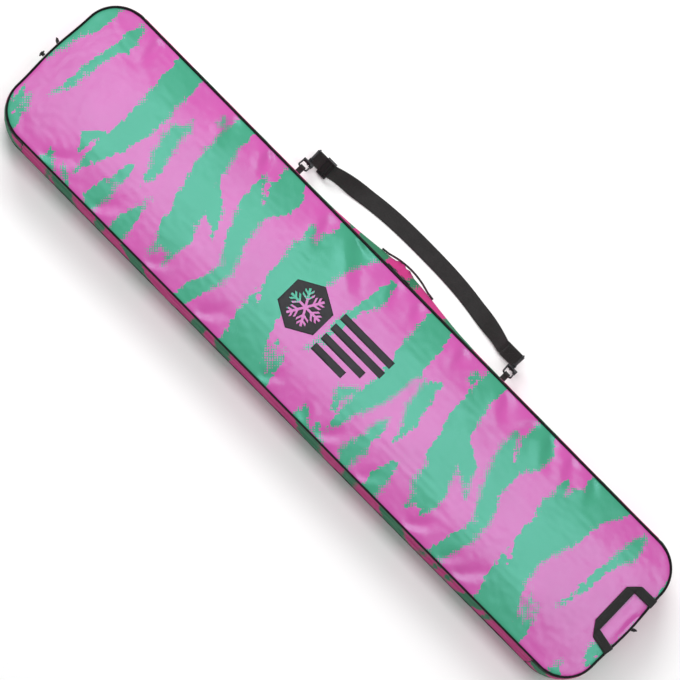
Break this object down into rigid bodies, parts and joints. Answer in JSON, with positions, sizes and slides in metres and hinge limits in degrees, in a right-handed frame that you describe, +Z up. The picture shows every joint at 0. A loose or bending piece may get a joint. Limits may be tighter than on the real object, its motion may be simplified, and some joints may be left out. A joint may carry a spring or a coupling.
{
  "type": "snowboard bag",
  "caption": "Long padded snowboard bag with a wrap-round zip, side and end carry handles, and a shoulder strap on swivel hooks",
  "frame": {"origin": "floor level under the middle of the bag's outline, on the underside of the back panel, with the bag lying on its back", "axes": "+X along the bag from the nose end to the tail end, +Y across it towards the zip, the side handle and the shoulder strap, +Z up out of the front panel"},
  "size_m": [1.6826, 0.4796, 0.1236],
  "materials": {
    "print_fabric": "coated polyester with an all-over two-colour camouflage print",
    "lining": "plain woven lining",
    "foam": "closed-cell padding",
    "binding": "woven tape over cord",
    "zip_tape": "woven zip tape",
    "zip_coil": "nylon coil",
    "webbing": "woven webbing",
    "strap_webbing": "ribbed woven webbing",
    "plastic": "moulded acetal",
    "hardware": "dark gunmetal plating, satin"
  },
  "bodies": {
    "base": {"back_skin": "print_fabric", "back_foam": "foam", "back_lining": "lining", "back_piping": "binding", "gusset_hinge_skin": "print_fabric", "gusset_hinge_foam": "foam", "gusset_hinge_lining": "lining", "gusset_zip_skin": "print_fabric", "gusset_zip_foam": "foam", "gusset_zip_lining": "lining", "gusset_nose_skin": "print_fabric", "gusset_nose_foam": "foam", "gusset_nose_lining": "lining", "gusset_tail_skin": "print_fabric", "gusset_tail_foam": "foam", "gusset_tail_lining": "lining", "zip_tape_lower": "zip_tape", "zip_coil_lower": "zip_coil", "zip_stops": "hardware", "hook_loop_nose": "webbing", "hook_loop_tail": "webbing", "side_handle_ends": "webbing", "nose_tab": "webbing", "tail_tab": "webbing", "ring_tab": "webbing"},
    "nose_ring": {"nose_ring": "hardware"},
    "lid": {"lid_skin": "print_fabric", "lid_foam": "foam", "lid_lining": "lining", "lid_piping": "binding", "zip_tape_upper": "zip_tape", "zip_coil_upper": "zip_coil"},
    "tail_handle": {"tail_handle": "webbing"},
    "slider_nose": {"slider_nose": "hardware"},
    "puller_nose": {"puller_nose": "hardware"},
    "slider_tail": {"slider_tail": "hardware"},
    "puller_tail": {"puller_tail": "hardware"},
    "side_handle": {"side_handle": "webbing"},
    "strap": {"strap_webbing": "strap_webbing", "strap_adjuster": "plastic", "eye_nose": "hardware", "eye_tail": "hardware"},
    "hook_nose": {"hook_nose": "hardware"},
    "gate_nose": {"gate_nose": "hardware"},
    "hook_tail": {"hook_tail": "hardware"},
    "gate_tail": {"gate_tail": "hardware"}
  },
  "joints": [
    {"name": "lid_open", "type": "hinge", "parent": "base", "child": "lid", "pos_m": [0, -0.176, 0.116], "axis": [1, 0, 0], "range_deg": [0, 160]},
    {"name": "slider_nose_travel", "type": "slide", "parent": "base", "child": "slider_nose", "axis": [-1, 0, 0], "range_m": [0, 0.7]},
    {"name": "slider_tail_travel", "type": "slide", "parent": "base", "child": "slider_tail", "axis": [1, 0, 0], "range_m": [0, 0.7]},
    {"name": "puller_nose_flip", "type": "hinge", "parent": "slider_nose", "child": "puller_nose", "pos_m": [-0.022, 0.18306, 0.1082], "axis": [0, 0, -1], "range_deg": [0, 160]},
    {"name": "puller_tail_flip", "type": "hinge", "parent": "slider_tail", "child": "puller_tail", "pos_m": [-0.002, 0.18306, 0.1082], "axis": [0, 0, 1], "range_deg": [0, 160]},
    {"name": "side_handle_swing", "type": "hinge", "parent": "base", "child": "side_handle", "pos_m": [0, 0.203, 0.08], "axis": [1, 0, 0], "range_deg": [-15, 25], "stiffness_Nm_per_rad": 0.03},
    {"name": "tail_handle_flip", "type": "hinge", "parent": "lid", "child": "tail_handle", "pos_m": [0.823, 0.01, 0.1194], "axis": [0, 1, 0], "range_deg": [0, 150]},
    {"name": "strap_swing", "type": "hinge", "parent": "base", "child": "strap", "pos_m": [0, 0.204, 0.064], "axis": [1, 0, 0], "range_deg": [0, 130]},
    {"name": "hook_nose_swivel", "type": "hinge", "parent": "strap", "child": "hook_nose", "pos_m": [-0.307, 0.204, 0.064], "axis": [0, 0.7193, -0.6947], "range_deg": [-6, 6]},
    {"name": "hook_tail_swivel", "type": "hinge", "parent": "strap", "child": "hook_tail", "pos_m": [0.289, 0.204, 0.064], "axis": [0, 0.7193, -0.6947], "range_deg": [-6, 6]},
    {"name": "gate_nose_open", "type": "hinge", "parent": "hook_nose", "child": "gate_nose", "pos_m": [-0.2965, 0.22198, 0.04663], "axis": [0, -0.6947, -0.7193], "range_deg": [0, 30], "stiffness_Nm_per_rad": 0.02},
    {"name": "gate_tail_open", "type": "hinge", "parent": "hook_tail", "child": "gate_tail", "pos_m": [0.2995, 0.22198, 0.04663], "axis": [0, -0.6947, -0.7193], "range_deg": [0, 30], "stiffness_Nm_per_rad": 0.02},
    {"name": "ring_swing", "type": "hinge", "parent": "base", "child": "nose_ring", "pos_m": [-0.838, -0.018, 0.094], "axis": [0, 1, 0], "range_deg": [-15, 150]}
  ]
}
